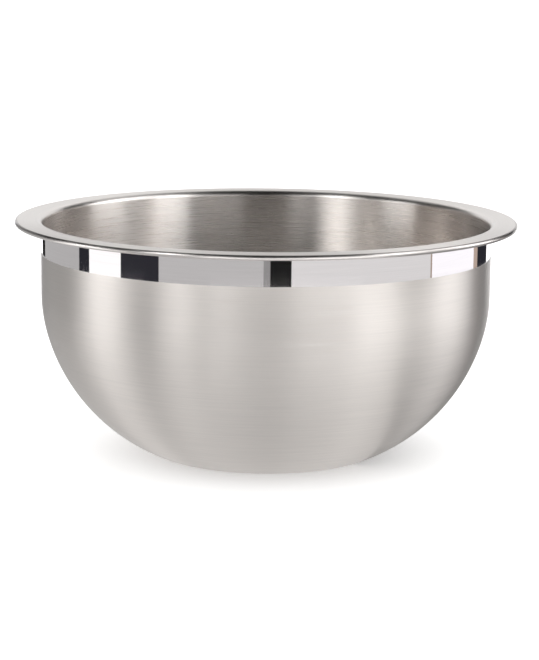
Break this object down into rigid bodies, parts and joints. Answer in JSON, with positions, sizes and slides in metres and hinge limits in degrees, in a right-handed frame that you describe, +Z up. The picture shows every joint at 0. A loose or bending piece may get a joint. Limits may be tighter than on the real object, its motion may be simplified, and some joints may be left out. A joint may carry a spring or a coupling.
{
  "type": "mixing bowl",
  "caption": "Deep round steel mixing bowl with a small flat base, brushed body, mirror-polished band under a wide flat rim, and a rolled edge.",
  "frame": {"origin": "centre of the flat base's underside, on the surface the bowl stands on", "axes": "+Z up along the bowl's axis, out of its mouth; +X and +Y are free, because the bowl is round"},
  "size_m": [0.269, 0.269, 0.127],
  "materials": {
    "brushed_steel": "satin, brushed in fine lines that run round the bowl",
    "polished_steel": "mirror polished",
    "satin_rim_steel": "fine satin, brushed round the rim"
  },
  "bodies": {
    "root": {"base_disc": "brushed_steel", "rounded_body": "brushed_steel", "straight_wall": "brushed_steel", "polished_band": "polished_steel", "rim_flange": "satin_rim_steel", "rolled_edge": "satin_rim_steel"}
  },
  "joints": []
}
